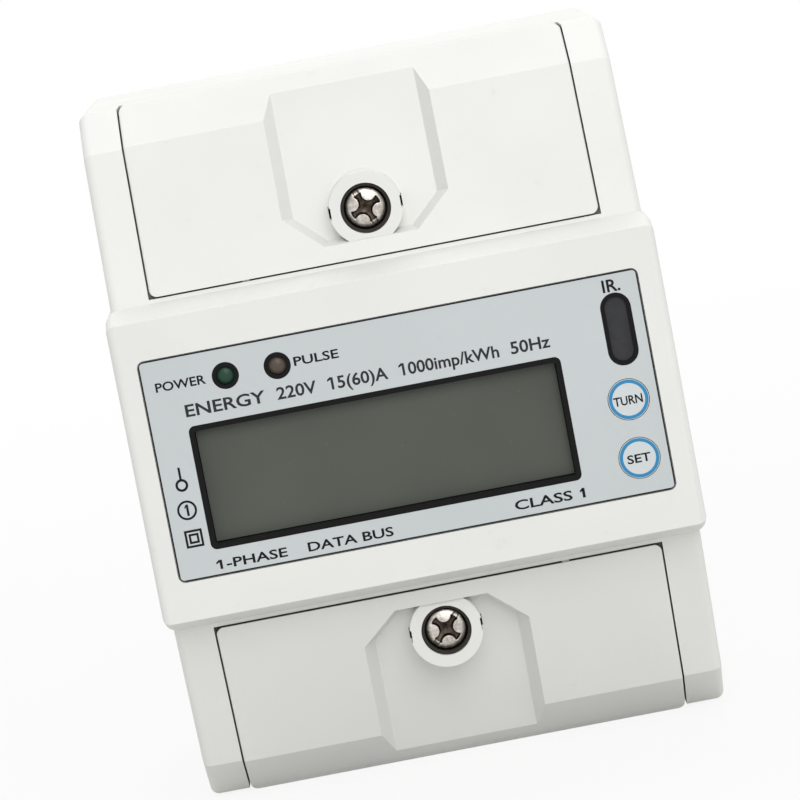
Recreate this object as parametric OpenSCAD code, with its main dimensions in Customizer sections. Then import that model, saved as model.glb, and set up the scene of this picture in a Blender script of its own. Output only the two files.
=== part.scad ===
// Single-phase energy meter for a 35 mm rail, four modules wide.
// X runs across the meter, Z up its height and -Y out of its front.
// The origin is the centre of the face that sits on the rail.
// Depths are measured back from the front face of the nose.

/* [Housing] */
// Width of the nose, the raised middle band
nose_w = 76; // [74:0.5:86]
// Height of the nose's flat front
nose_h = 41.8; // [40:0.2:44]
// Height that each sloping end of the nose takes up
nose_bevel = 1.7; // [1:0.1:3]
// How far the nose stands in front of the shoulders
nose_step = 5; // [2:0.5:7]
// Width of the housing beside the terminal covers
body_w = 74.2; // [73:0.2:84]
// Overall height of the housing
body_h = 98; // [96:0.2:110]
// Distance from a shoulder's fold to the housing's end
fold_inset = 5.3; // [4.5:0.1:7]
// Depth of the shoulder at its fold
fold_d = 12.8; // [10:0.2:14]
// Depth of the shoulder at its outer edge
end_d = 19.4; // [16:0.2:21]
// Depth of the joint between front and rear housings
parting_d = 30; // [28:0.5:31]
// Distance from the rail to the front of the nose
front_to_rail = 59.5; // [59:0.5:70]
// How far the feet reach behind the rail's front
foot_reach = 5.5; // [5:0.5:8]
// Wall thickness of the mouldings
wall = 2; // [1.6:0.1:2.4]
// Wall thickness at the nose's sides
nose_side = 2.9; // [2.5:0.1:3.2]
// Radius along the housing's long edges
edge_r = 1.2; // [0.4:0.1:1.6]
// Radius of the nose's corners seen from the front
corner_r = 2; // [1:0.2:3]

/* [Terminal covers] */
// Width of the cheek on each side of a cover
cheek_w = 5.5; // [5:0.1:6]
// Gap round a cover
cover_gap = 0.25; // [0.1:0.05:0.5]
// Thickness of a cover
cover_wall = 1.8; // [1.4:0.1:2.2]
// How far a cover stands in front of the cheeks
cover_proud = 0.35; // [0:0.05:0.6]
// Strip of housing between the nose and a cover
ledge_w = 0.55; // [0.4:0.05:1]
// Radius of a cover's corners
cover_r = 1.1; // [0.5:0.1:2]
// Width of the pocket in a cover at its floor
pocket_w = 20.2; // [18:0.2:24]
// Depth of the pocket below the cover's face
pocket_t = 2.7; // [2:0.1:3.5]
// Draft of the pocket's walls in degrees
pocket_draft = 30; // [15:1:40]
// Distance from the nose to the middle of a cover screw
screw_out = 7.3; // [6.9:0.1:8.4]
// Outer diameter of the screw boss
boss_od = 10.2; // [9.6:0.2:11]
// Depth of the boss's rim
boss_d = 6.3; // [6:0.1:7]
// Diameter of the hole that the screw head sits in
head_hole = 7; // [6.6:0.1:7.4]
// Length of a seal wire slot
seal_len = 1.7; // [1:0.1:2.5]
// Width of a seal wire slot
seal_w = 0.3; // [0.2:0.05:0.6]

/* [Faceplate] */
// Distance from the nose's sides to the printed faceplate
plate_inset = 3.4; // [2.5:0.1:4]
// Height of the printed faceplate
plate_h = 30.8; // [30:0.2:34]
// Thickness of the printed faceplate
plate_t = 0.3; // [0.2:0.05:0.5]
// Depth of the recess that holds the faceplate
recess_t = 0.5; // [0.4:0.05:0.8]
// Width of the faceplate left beside the display, on both sides together
frame_margin = 17.5; // [16.5:0.1:19]
// Height of the display's black frame
frame_h = 17.3; // [16:0.1:18]
// Middle of the display across the meter
frame_x = -3.65; // [-4:0.05:-3]
// Middle of the display up the meter
frame_z = -3.15; // [-3.6:0.05:-3]
// Width of the black line round the display
frame_line = 0.75; // [0.5:0.05:1]
// Height of the two lamps
lamp_z = 11.5; // [11:0.1:12]
// Distance from the faceplate's left edge to the power lamp
lamp_inset = 11.5; // [10.5:0.1:12.5]
// Distance between the two lamps
lamp_pitch = 7.2; // [6.5:0.1:8]
// Outer diameter of the ring round a lamp
lamp_ring_od = 3.7; // [3.5:0.1:4]
// Distance from the faceplate's right edge to the buttons
button_inset = 4.2; // [3.8:0.1:4.6]
// Height of the turn button
turn_z = -2.15; // [-2.5:0.05:-2]
// Height of the set button
set_z = -10.35; // [-10.6:0.05:-10]
// Diameter of a button
button_dia = 5.6; // [5:0.1:5.8]
// Travel of a button
button_travel = 0.35; // [0.2:0.05:0.5]
// Distance from the faceplate's right edge to the infrared window
ir_inset = 3.7; // [3.4:0.1:4.2]
// Height of the middle of the infrared window
ir_z = 7.6; // [7.4:0.1:7.8]
// Width of the infrared window's frame
ir_w = 4.2; // [3.8:0.1:4.6]
// Length of the infrared window's frame
ir_h = 10.1; // [9.6:0.1:10.4]

/* [Main terminals] */
// Wall and clearance between two main terminal cages
main_gap = 4.6; // [4.2:0.1:5.2]
// Radius of a main terminal screw's shank
main_screw_r = 2.5; // [2:0.1:3]
// Travel of a main terminal cage
main_travel = 7.5; // [6:0.5:7.5]

/* [Auxiliary terminals] */
// Spacing of the auxiliary terminals
aux_pitch = 8; // [7.6:0.1:9]
// Diameter of an auxiliary wire entry
aux_wire = 3.6; // [3:0.1:3.8]
// Radius of an auxiliary terminal screw's shank
aux_screw_r = 1.5; // [1.2:0.1:1.6]
// Travel of an auxiliary terminal cage
aux_travel = 3; // [2:0.25:3]

/* [Rail mounting] */
// Width of the rail across its flanges
rail_w = 35; // [34.8:0.1:35.2]
// Thickness of the rail's flanges
rail_t = 1; // [0.8:0.1:1.5]
// Grip of each hook over the rail
hook_grip = 1.4; // [1:0.1:2]
// Width of the sliding latch
latch_w = 20; // [16:1:26]
// Thickness of the sliding latch
latch_t = 2.9; // [2.4:0.1:3.2]
// Travel of the sliding latch
latch_travel = 4.5; // [3:0.5:4.5]

/* [Circuit boards] */
// Thickness of the circuit boards
board_t = 1.6; // [1:0.2:2]
// Depth of the display board's front
display_board_d = 9; // [8.6:0.2:10]
// Gap between the main terminals' bars and the main board
board_gap = 4.8; // [4:0.2:6]

/* [Hidden] */
$fn = 64;

shell_color = [0.91, 0.91, 0.89];
far = 200;
edge_steps = 5;

foot_z = nose_h / 2 + nose_bevel;
end_z = body_h / 2;
fold_z = end_z - fold_inset;
screw_z = foot_z + screw_out;
back_d = front_to_rail + foot_reach;
face_a = atan((fold_d - nose_step) / (fold_z - foot_z));
bevel_a = atan((end_d - fold_d) / (end_z - fold_z));
nose_a = atan(nose_step / nose_bevel);
cover_w = body_w - 2 * cheek_w;
cover_z = foot_z + ledge_w;
plate_w = nose_w - 2 * plate_inset;
frame_w = plate_w - frame_margin;
power_x = lamp_inset - plate_w / 2;
pulse_x = power_x + lamp_pitch;
side_x = plate_w / 2 - button_inset;
ir_x = plate_w / 2 - ir_inset;
cover_end_d = parting_d - cover_gap;
seat_w = 1.6;
nose_seat = 0.8;
clear = 0.1;

// Depth of the shoulder's flat face at a height, moved in by t
function face_d(z, t = 0) = nose_step + (z - foot_z) * tan(face_a) + t / cos(face_a);

// A corner between planes tilted by a and b, moved in by t
function mitre(p, a, b, t) = p + t * [cos(a) + cos(b), -sin(a) - sin(b)] / (1 + cos(a - b));

// The shoulder's outline from height z0 to depth d1, moved in by t
function shoulder_line(z0, d1, t) = [
    [face_d(z0, t), z0],
    mitre([fold_d, fold_z], face_a, bevel_a, t),
    mitre([end_d, end_z], bevel_a, 90, t),
    [d1, end_z - t]];

// A point on a rounded front edge, round the centre at x
function rounding(x, r, a) = [x + r * cos(a), r + r * sin(a)];

function flip(list) = [for (i = [len(list) - 1 : -1 : 0]) list[i]];

// Places a shape drawn with depth 0 at the nose's front
module at_front() translate([0, -front_to_rail, 0]) children();

// Draws depth and height as a side view, extruded across the meter
module across(w, x = 0) translate([x - w / 2, 0, 0]) rotate([90, 0, 90]) linear_extrude(w) children();

// Draws across and height as a front view, extruded from depth d0 to d1
module into(d0, d1) translate([0, d1, 0]) rotate([90, 0, 0]) linear_extrude(d1 - d0) children();

module round_rect(w, h, r) {
    square([w - 2 * r, h], center = true);
    square([w, h - 2 * r], center = true);
    for (x = [-1, 1], y = [-1, 1]) translate([x * (w / 2 - r), y * (h / 2 - r)]) circle(r);
}

module box(x, d, z) translate([x[0], d[0], z[0]]) cube([x[1] - x[0], d[1] - d[0], z[1] - z[0]]);

module rod(x, z, d0, d1, r) translate([x, d0, z]) rotate([-90, 0, 0]) cylinder(h = d1 - d0, r = r);

module ends() {
    children();
    mirror([0, 0, 1]) children();
}

// Half space behind a plane through depth d and height z, tilted back by a,
// limited to width w and with its two long front edges rounded in flats
module slab(d, z, a, w, r) translate([0, d, z]) rotate([-a, 0, 0])
    translate([0, 0, -far / 2]) linear_extrude(far) polygon(concat(
        [for (i = [0 : edge_steps]) rounding(-w / 2 + r, r, 180 + 90 * i / edge_steps)],
        [for (i = [0 : edge_steps]) rounding(w / 2 - r, r, 270 + 90 * i / edge_steps)],
        [[w / 2, far / 2], [-w / 2, far / 2]]));

// The outer form of the shoulders, moved in by t
module shoulders(w, t, r, d0, d1) intersection() {
    box([-far, far], [d0, d1], [-far, far]);
    slab(face_d(foot_z, t), foot_z, face_a, w, r);
    mirror([0, 0, 1]) slab(face_d(foot_z, t), foot_z, face_a, w, r);
    slab(fold_d + t / cos(bevel_a), fold_z, bevel_a, w, r);
    mirror([0, 0, 1]) slab(fold_d + t / cos(bevel_a), fold_z, bevel_a, w, r);
    slab(0, end_z - t, 90, w, r);
    mirror([0, 0, 1]) slab(0, end_z - t, 90, w, r);
}

module nose(d1) intersection() {
    box([-far, far], [0, d1], [-far, far]);
    slab(0, 0, 0, nose_w, edge_r);
    slab(0, nose_h / 2, nose_a, nose_w, edge_r);
    mirror([0, 0, 1]) slab(0, nose_h / 2, nose_a, nose_w, edge_r);
    into(0, d1) round_rect(nose_w, 2 * foot_z, corner_r);
}

// Space behind the shoulder's outline moved in by t, from height z0 to the parting
module shoulder_space(w, t, z0) across(w)
    polygon(concat(shoulder_line(z0, parting_d + 1, t), [[parting_d + 1, z0]]));

// Places that are the same on both halves of the housing
post_r = 2.8;
boss_x = cover_w / 2 - seat_w + post_r;
boss_z = foot_z + 4;
boss_front_d = face_d(boss_z + post_r, cover_wall);
screw_core_r = 1.25;
screw_bite = 10;
nose_wall = 2.5;
nose_end = 2;
cavity_x = body_w / 2 - wall;
nose_cavity_x = nose_w / 2 - nose_side;
cavity_z = foot_z - nose_end;
cover_post_r = 3.6;
cover_thread_r = 1.75;
pocket_floor = 1.4;
cover_post_d = face_d(screw_z + cover_post_r, pocket_t + pocket_floor) + clear;
stake_x = nose_cavity_x - 2.1;
stake_z = cavity_z - 3;
stake_r = 1;
button_hole = button_dia + 0.2;

module plate_cutouts(extra) {
    translate([frame_x, frame_z]) round_rect(frame_w + extra, frame_h + extra, 0.9);
    for (x = [power_x, pulse_x]) translate([x, lamp_z]) circle(d = lamp_ring_od + extra);
    for (z = [turn_z, set_z]) translate([side_x, z]) circle(d = button_hole);
    translate([ir_x, ir_z]) round_rect(ir_w + extra, ir_h + extra, (ir_w + extra) / 2 - 0.01);
}

module cover_opening() {
    // The cover's own bed, down to its seat
    across(cover_w) polygon(concat(
        [[-1, cover_z], [-1, end_z + 5], [parting_d + 1, end_z + 5]],
        flip(shoulder_line(cover_z, parting_d + 1, cover_wall - cover_proud))));
    // The way through between the seats
    shoulder_space(cover_w - 2 * seat_w, cover_wall - cover_proud - 0.5, cover_z + nose_seat);
    // The hollow behind the cheeks
    shoulder_space(2 * cavity_x, cover_wall - cover_proud + seat_w, foot_z);
}

// A column beside the side wall, joined to it by a rib
module column(d0, d1, r) {
    rod(boss_x, boss_z, d0, d1, r);
    box([boss_x, cavity_x + 0.5], [d0, d1], [boss_z - 0.6, boss_z + 0.6]);
}

module front_housing() color(shell_color) at_front() difference() {
    union() {
        difference() {
            union() {
                nose(parting_d);
                shoulders(body_w, 0, edge_r, nose_step, parting_d);
            }
            box([-nose_cavity_x, nose_cavity_x], [nose_wall, parting_d + 1], [-cavity_z, cavity_z]);
            ends() cover_opening();
        }
        // Screw posts at the four corners, under the cheeks
        for (x = [0, 1]) mirror([x, 0, 0]) ends() column(boss_front_d, parting_d, post_r);
        // Posts that the cover screws bite into, webbed to the nose
        ends() {
            rod(0, screw_z, cover_post_d, parting_d - 1, cover_post_r);
            box([-1, 1], [cover_post_d, parting_d - 1], [foot_z - 0.5, screw_z]);
        }
        // Stakes that carry the display board
        for (x = [-1, 1], z = [-1, 1]) {
            rod(x * stake_x, z * stake_z, nose_wall - 0.5, display_board_d, 1.8);
            rod(x * stake_x, z * stake_z, nose_wall - 0.5, display_board_d + board_t + 0.6, stake_r);
        }
    }
    // Recess for the faceplate and the windows through the front wall
    into(-1, recess_t) round_rect(plate_w + 0.3, plate_h + 0.3, 1);
    into(-1, nose_wall + 1) plate_cutouts(clear);
    for (x = [0, 1]) mirror([x, 0, 0]) ends()
        rod(boss_x, boss_z, parting_d - screw_bite - 2, parting_d + 1, screw_core_r);
    ends() rod(0, screw_z, cover_post_d - 1, parting_d, cover_thread_r);
}

pocket_foot = 2.9;
pocket_corner = 6.2;
// Walls of the pocket: direction in the cover's plane and reach at the floor
pocket_walls = [[0, pocket_w / 2], [180, pocket_w / 2], [-90, pocket_foot],
    [-46, pocket_corner], [226, pocket_corner]];

// Places a shape on the cover's sloping face at the screw
module on_cover_face() translate([0, face_d(screw_z, -cover_proud), screw_z])
    rotate([-face_a, 0, 0]) children();

module pocket() on_cover_face() intersection() {
    box([-far, far], [-far, pocket_t], [-far, far]);
    intersection_for(w = pocket_walls)
        rotate([0, -w[0], 0]) translate([w[1], pocket_t, 0]) rotate([0, 0, pocket_draft])
        translate([-far, -far / 2, -far / 2]) cube(far);
}

cover_half = cover_w / 2 - cover_gap;
cover_foot = cover_z + cover_gap;
skirt_x = cover_w / 2 - seat_w - clear;
skirt_t = 1.2;
boss_floor_d = boss_d + 3.8;
cover_screw_r = 1.7;
tab_x = -18;

module cover() difference() {
    union() {
        difference() {
            intersection() {
                shoulders(2 * cover_half, -cover_proud, 0.3, 0, cover_end_d);
                into(0, cover_end_d) translate([0, (cover_foot + end_z + cover_proud) / 2])
                    round_rect(2 * cover_half, end_z + cover_proud - cover_foot, cover_r);
            }
            shoulder_space(far, cover_wall - cover_proud, 0);
        }
        // Thicker floor behind the pocket
        intersection() {
            shoulders(pocket_w + 2 * pocket_floor, cover_wall - cover_proud - 0.2, 0.3, 0, cover_end_d);
            on_cover_face() box([-far, far], [0, pocket_t + pocket_floor],
                [-pocket_foot - pocket_floor - 0.2, far]);
        }
        // Skirts inside the seats
        intersection() {
            for (x = [-1, 1]) across(skirt_t, x * (skirt_x - skirt_t / 2)) polygon(concat(
                shoulder_line(cover_foot + 1, parting_d, cover_wall - cover_proud - 0.2),
                flip(shoulder_line(cover_foot + 1, parting_d, cover_wall + 3))));
            box([-far, far], [0, fold_d + 2.2], [0, end_z]);
        }
        // Boss for the screw, and the tab that meets the nose
        rod(0, screw_z, boss_d, cover_post_d, boss_od / 2);
        box([tab_x - 0.5, tab_x + 0.5], [face_d(cover_z, 0.2), face_d(cover_z, 1)],
            [cover_z, cover_foot + 0.5]);
    }
    difference() {
        pocket();
        rod(0, screw_z, boss_d, far, boss_od / 2);
    }
    rod(0, screw_z, boss_d - 5, boss_floor_d, head_hole / 2);
    rod(0, screw_z, boss_d, cover_post_d + 1, cover_screw_r + 0.25);
    for (x = [-1, 1]) translate([x * (boss_od / 2 - 0.1) - seal_w / 2, boss_d - 3, screw_z - seal_len / 2])
        cube([seal_w, 15, seal_len]);
}

module top_terminal_cover() color(shell_color) at_front() cover();

module bottom_terminal_cover() color(shell_color) at_front() mirror([1, 0, 0]) mirror([0, 0, 1]) cover();

cup_wall = 0.45;
cup_floor = 0.4;
head_r = head_hole / 2 - cup_wall - 0.2;
head_t = 2;
head_d = boss_floor_d - cup_floor - head_t;
cover_screw_len = 13;

module screw_cup() difference() {
    rod(0, screw_z, boss_d + 0.7, boss_floor_d, head_hole / 2 - 0.02);
    rod(0, screw_z, boss_d, boss_floor_d - cup_floor, head_hole / 2 - cup_wall);
    rod(0, screw_z, boss_d, boss_floor_d + 1, cover_screw_r + 0.1);
}

module top_screw_cup() color([0.14, 0.13, 0.12]) at_front() screw_cup();

module bottom_screw_cup() color([0.14, 0.13, 0.12]) at_front() mirror([0, 0, 1]) screw_cup();

// A pan head screw with a cross and a slot that shares one arm of the cross
module cover_screw(turn) translate([0, head_d, screw_z]) rotate([0, -turn, 0]) difference() {
    rotate([-90, 0, 0]) union() {
        rotate_extrude() intersection() {
            translate([0, 4.6]) circle(4.6);
            square([head_r, head_t]);
        }
        cylinder(h = head_t + cover_screw_len - 2, r = cover_screw_r);
        translate([0, 0, head_t + cover_screw_len - 2]) cylinder(h = 2, r1 = cover_screw_r, r2 = 0.4);
    }
    box([-3.5, 3.5], [-1, 0.75], [-0.42, 0.42]);
    box([-1.75, 1.75], [-1, 1.35], [-0.5, 0.5]);
    box([-0.5, 0.5], [-1, 1.35], [-1.75, 1.75]);
    rod(0, 0, -1, 1.35, 0.85);
}

module top_cover_screw() color("silver") at_front() cover_screw(-69);

module bottom_cover_screw() color("silver") at_front() mirror([0, 0, 1]) cover_screw(-47);

module faceplate() color([0.80, 0.83, 0.85]) at_front() into(recess_t - plate_t, recess_t) difference() {
    round_rect(plate_w, plate_h, 0.9);
    plate_cutouts(0.02);
}

bezel_flange = 0.8;

// The display's frame drops through its window from behind
module lcd_bezel() color([0.08, 0.08, 0.08]) at_front() difference() {
    union() {
        into(recess_t - plate_t, nose_wall) translate([frame_x, frame_z]) round_rect(frame_w, frame_h, 0.85);
        into(nose_wall, nose_wall + bezel_flange) translate([frame_x, frame_z])
            round_rect(frame_w + 2, frame_h + 2, 1);
    }
    into(-1, far) translate([frame_x, frame_z])
        round_rect(frame_w - 2 * frame_line, frame_h - 2 * frame_line, 0.3);
}

glass_w = frame_w + 1.6;
glass_h = frame_h + 1.6;
glass_d = nose_wall + bezel_flange;
glass_t = 2.2;

// Two panes with the liquid crystal between, one a little longer for its pins,
// and a raised polariser that fills the frame's window
module lcd_panel() color([0.42, 0.44, 0.40]) at_front() translate([frame_x, 0, frame_z]) {
    into(glass_d, glass_d + glass_t / 2) square([glass_w, glass_h - 1.6], center = true);
    into(glass_d + glass_t / 2, glass_d + glass_t) square([glass_w, glass_h], center = true);
    into(glass_d - 1.4, glass_d)
        square([frame_w - 2 * frame_line - 0.2, frame_h - 2 * frame_line - 0.2], center = true);
}

// The light guide behind the glass, with a lug at each end for its lamps
module lcd_backlight() color([0.93, 0.94, 0.90]) at_front() translate([frame_x, 0, frame_z]) {
    into(glass_d + glass_t, display_board_d) square([glass_w, glass_h], center = true);
    for (x = [-1, 1]) into(display_board_d - 1.2, display_board_d) translate([x * (glass_w / 2 + 1), 0])
        square([2, 6], center = true);
}

module stake_holes() for (x = [-1, 1], z = [-1, 1])
    translate([x * stake_x, z * stake_z]) circle(stake_r + 0.05);

module display_board() color([0.10, 0.35, 0.20]) at_front()
    into(display_board_d, display_board_d + board_t) difference() {
        round_rect(2 * nose_cavity_x - 1, 2 * cavity_z - 1.2, 1);
        stake_holes();
    }

lamp_r = 1.48;
lamp_tip_d = 0.25;

// A round lamp with a domed tip, a rim and two legs through the board
module lamp(x) translate([x, 0, lamp_z]) {
    intersection() {
        rod(0, 0, lamp_tip_d, display_board_d - 3, lamp_r - 0.25);
        translate([0, lamp_tip_d + 2, 0]) sphere(2);
    }
    rod(0, 0, lamp_tip_d + 1.2, display_board_d, lamp_r);
    rod(0, 0, display_board_d - 1, display_board_d, lamp_r + 0.3);
}

module power_lamp() color([0.20, 0.33, 0.24]) at_front() lamp(power_x);

module pulse_lamp() color([0.42, 0.36, 0.30]) at_front() lamp(pulse_x);

// Sleeves that hold the lamps, each with a small lip over the lamp's shoulder
module lamp_ring() difference() {
    union() {
        rod(0, 0, recess_t - plate_t, 2 * nose_wall, lamp_ring_od / 2);
        rod(0, 0, nose_wall, nose_wall + 0.8, lamp_ring_od / 2 + 0.7);
    }
    rod(0, 0, -1, far, lamp_r - 0.2);
    rod(0, 0, lamp_tip_d + 1.15, far, lamp_r + 0.03);
}

module lamp_rings() color([0.07, 0.07, 0.07]) at_front()
    for (x = [power_x, pulse_x]) translate([x, 0, lamp_z]) lamp_ring();

ir_line = 0.6;

module infrared_frame() color([0.07, 0.07, 0.07]) at_front() difference() {
    union() {
        into(recess_t - plate_t, nose_wall) translate([ir_x, ir_z]) round_rect(ir_w, ir_h, ir_w / 2 - 0.01);
        into(nose_wall, nose_wall + 1) translate([ir_x, ir_z]) round_rect(ir_w + 1.6, ir_h + 1.6, ir_w / 2);
    }
    into(-1, far) translate([ir_x, ir_z])
        round_rect(ir_w - 2 * ir_line, ir_h - 2 * ir_line, ir_w / 2 - ir_line - 0.01);
}

module infrared_window() color([0.16, 0.16, 0.17]) at_front() {
    into(recess_t + 0.1, nose_wall + 1) translate([ir_x, ir_z])
        round_rect(ir_w - 2 * ir_line - 0.04, ir_h - 2 * ir_line - 0.04, ir_w / 2 - ir_line - 0.03);
    into(nose_wall + 1, nose_wall + 1.8) translate([ir_x, ir_z]) round_rect(ir_w + 1, ir_h + 1, ir_w / 2);
}

ir_pair = 2.3;
diode_r = 1.5;
diode_d = display_board_d - 2.9;

// The optical port's sender and receiver, on the display board behind the window
module infrared_diodes() color([0.12, 0.10, 0.16]) at_front()
    for (z = [-1, 1]) translate([ir_x, 0, ir_z + z * ir_pair]) {
        rod(0, 0, diode_d, display_board_d, diode_r);
        translate([0, diode_d, 0]) sphere(diode_r);
        rod(0, 0, display_board_d - 1, display_board_d, diode_r + 0.4);
    }

switch_front = display_board_d - 3.5;
switch_w = 6;
switch_floor = 0.5;
plunger_r = 1.7;

// A cap with a retaining flange behind the wall and the plunger of its switch
module button(z) translate([side_x, 0, z]) {
    rod(0, 0, recess_t - plate_t, nose_wall + 0.1, button_dia / 2);
    rod(0, 0, nose_wall + 0.05, nose_wall + 0.85, button_dia / 2 + 0.6);
    rod(0, 0, nose_wall + 0.5, display_board_d - switch_floor - 2 * button_travel, plunger_r);
}

module turn_button() color([0.80, 0.83, 0.85]) at_front() button(turn_z);

module set_button() color([0.80, 0.83, 0.85]) at_front() button(set_z);

module key_switch(z) translate([side_x, 0, z]) difference() {
    box([-switch_w / 2, switch_w / 2], [switch_front, display_board_d], [-switch_w / 2, switch_w / 2]);
    rod(0, 0, switch_front - 1, display_board_d - switch_floor, plunger_r + 0.08);
}

module turn_switch() color([0.15, 0.15, 0.15]) at_front() key_switch(turn_z);

module set_switch() color([0.15, 0.15, 0.15]) at_front() key_switch(set_z);

// Places of the terminal blocks and bars, which follow the housing's ends
end_wall = 2.2;
block_z = [end_z - end_wall - 12.6, end_z - end_wall];
cage_z = end_z - 9.1;
block_front_d = face_d(fold_z + 1.2, pocket_t + pocket_floor) + 0.3;
head_front_d = block_front_d + 1.5;
bar_tail_z = foot_z - 2.6;
bridge_h = 6;

main_board_x = cavity_x - 6.6;
main_board_z = [8.2 - block_z[0], block_z[0] - 2.2];
pillar_x = main_board_x - 3;
pillar_z = [8 - bar_tail_z, main_board_z[1] - 3];
base_floor_d = front_to_rail - wall;

module main_board() color([0.10, 0.35, 0.20]) at_front() difference() {
    box([-main_board_x, main_board_x], [main_board_d, main_board_d + board_t], main_board_z);
    for (x = [-1, 1], z = pillar_z) rod(x * pillar_x, z, 0, far, stake_r + 0.05);
}

ribbon_z = 14.5;
ribbon_w = 18;
ribbon_t = 0.8;
socket_t = 5;
socket_h = 4;
socket_x = ribbon_w / 2 + 2;

module ribbon_sockets() color([0.85, 0.83, 0.78]) at_front() translate([0, 0, ribbon_z]) {
    box([-socket_x, socket_x], [display_board_d + board_t, display_board_d + board_t + socket_t],
        [-socket_h / 2, socket_h / 2]);
    box([-socket_x, socket_x], [main_board_d - socket_t, main_board_d], [-socket_h / 2, socket_h / 2]);
}

module ribbon_cable() color([0.72, 0.72, 0.74]) at_front() box([-ribbon_w / 2, ribbon_w / 2],
    [display_board_d + board_t + socket_t, main_board_d - socket_t],
    [ribbon_z - ribbon_t / 2, ribbon_z + ribbon_t / 2]);

// Places a component on the main board's front, which is its depth 0
module on_main_board(x, z) at_front() translate([x, main_board_d, z]) children();

core_w = 20;
core_t = 12;
core_h = 17;
core_rim = 3;
coil_proud = 2.5;

// Laminated core with a winding round its middle limb
module transformer() color([0.35, 0.33, 0.30]) on_main_board(12.5 - main_board_x, 2) {
    into(-core_h, 0) square([core_w, core_t], center = true);
    into(core_rim - core_h, -core_rim) round_rect(core_w - 2 * core_rim, core_t + 2 * coil_proud, coil_proud);
}

film_w = 18;
film_t = 8;
film_h = 14;

module film_capacitor() color([0.85, 0.75, 0.20]) on_main_board(main_board_x - 12.5, -3)
    into(-film_h, 0) round_rect(film_w, film_t, 0.6);

can_r = 4.5;
can_h = 13;

module smoothing_capacitor() color([0.10, 0.12, 0.20]) on_main_board(main_board_x - 11.5, main_board_z[1] - 6.5) {
    rod(0, 0, -can_h, 0, can_r - 0.2);
    // The sleeve's bead at the foot
    rod(0, 0, -can_h + 0.4, -2, can_r);
    rod(0, 0, -1.2, 0, can_r);
}

disc_r = 5;
disc_t = 3.6;
leg_r = 0.4;

module varistor() color([0.15, 0.30, 0.65]) on_main_board(main_board_x - 11.5, 6.5) {
    translate([0, -disc_r - 1, -disc_t / 2]) cylinder(h = disc_t, r = disc_r);
    for (x = [-1, 1]) rod(x * disc_r * 0.7, 0, -disc_r - 1, 0, leg_r);
}

// A flat chip with a row of n leads along both sides
module chip(w, h, t, n, lead) {
    box([-w / 2, w / 2], [-t, -0.1], [-h / 2, h / 2]);
    for (i = [0 : n - 1]) translate([(i - (n - 1) / 2) * w / n, 0, 0])
        box([-lead / 2, lead / 2], [-t / 2, 0], [-h / 2 - 2 * lead, h / 2 + 2 * lead]);
}

module metering_chip() color([0.08, 0.08, 0.08]) on_main_board(1, bar_tail_z - 32) chip(12, 7.4, 1.7, 10, 0.4);

coupler_w = 4.6;

module optocouplers() color([0.08, 0.08, 0.08]) for (x = [-2, 0, 2])
    on_main_board(x * coupler_w - 5, main_board_z[1] - 5) chip(coupler_w, 4.6, 3.2, 2, 0.6);

// Sizes of each kind of terminal: pitch, cage width, cage length, cage wall, cage roof,
// cage floor, bar width, bar thickness, wire entry, screw radius, head radius, head depth, bar depth
main_pitch = (cover_w - 2.4) / 4;
main_cage_w = main_pitch - main_gap;
main_cage_t = 1.1;
main_wire = main_cage_w - 2 * main_cage_t;
main = [main_pitch, main_cage_w, 8, main_cage_t, 3, 2.5, main_wire - 0.4, 2.5, main_wire, main_screw_r,
    main_screw_r + 1.3, 3.2, block_front_d + 10.7 + main_travel];
main_board_d = main[12] + main[7] + board_gap;
aux_cage_w = aux_pitch - 2.4;
aux_cage_t = 0.7;
aux = [aux_pitch, aux_cage_w, 5, aux_cage_t, 2, 1.4, aux_cage_w - 2 * aux_cage_t - 0.2, 1, aux_wire,
    aux_screw_r, aux_screw_r + 0.9, 2, block_front_d + 8.9 + aux_travel];

shelf_t = 1.5;
block_gap = 0.5;
block_wall = 1.5;
wire_gap = 0.1;
entry_clear = 0.05;

function slot_x(s, i) = (i - 2.5) * s[0];
function cage_w(s) = s[1];
function cage_len(s) = s[2];
function cage_t(s) = s[3];
function bar_w(s) = s[6];
function wire(s) = s[8];
function shank_r(s) = s[9];
function head_rad(s) = s[10];
function head_back(s) = head_front_d + s[11];
function bar_front(s) = s[12];
function bar_back(s) = bar_front(s) + s[7];
function cage_front(s) = bar_front(s) - s[4] - 0.3;
function cage_roof(s) = cage_front(s) + s[4];
function cage_floor(s) = bar_back(s) + wire(s) + wire_gap;
function cage_back(s) = cage_floor(s) + s[5];
function wire_d(s) = bar_back(s) + (wire(s) + wire_gap) / 2;

// A rising clamp: a square tube round the contact bar, threaded through its front
module cage(s, x) translate([x, 0, cage_z]) difference() {
    box([-cage_w(s) / 2, cage_w(s) / 2], [cage_front(s), cage_back(s)], [-cage_len(s) / 2, cage_len(s) / 2]);
    box([cage_t(s) - cage_w(s) / 2, cage_w(s) / 2 - cage_t(s)], [cage_roof(s), cage_floor(s)], [-far, far]);
    rod(0, 0, 0, cage_roof(s) + 0.5, shank_r(s) + entry_clear);
}

module clamp_screw(s, x) translate([x, 0, cage_z]) difference() {
    union() {
        rod(0, 0, head_front_d, head_back(s), head_rad(s));
        rod(0, 0, head_back(s) - 0.5, bar_front(s) - 0.05, shank_r(s));
    }
    // Slot for the screwdriver, a quarter of the head's radius wide
    box([-far, far], [0, (head_front_d + head_back(s)) / 2], [-head_rad(s) / 8, head_rad(s) / 8]);
}

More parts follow.
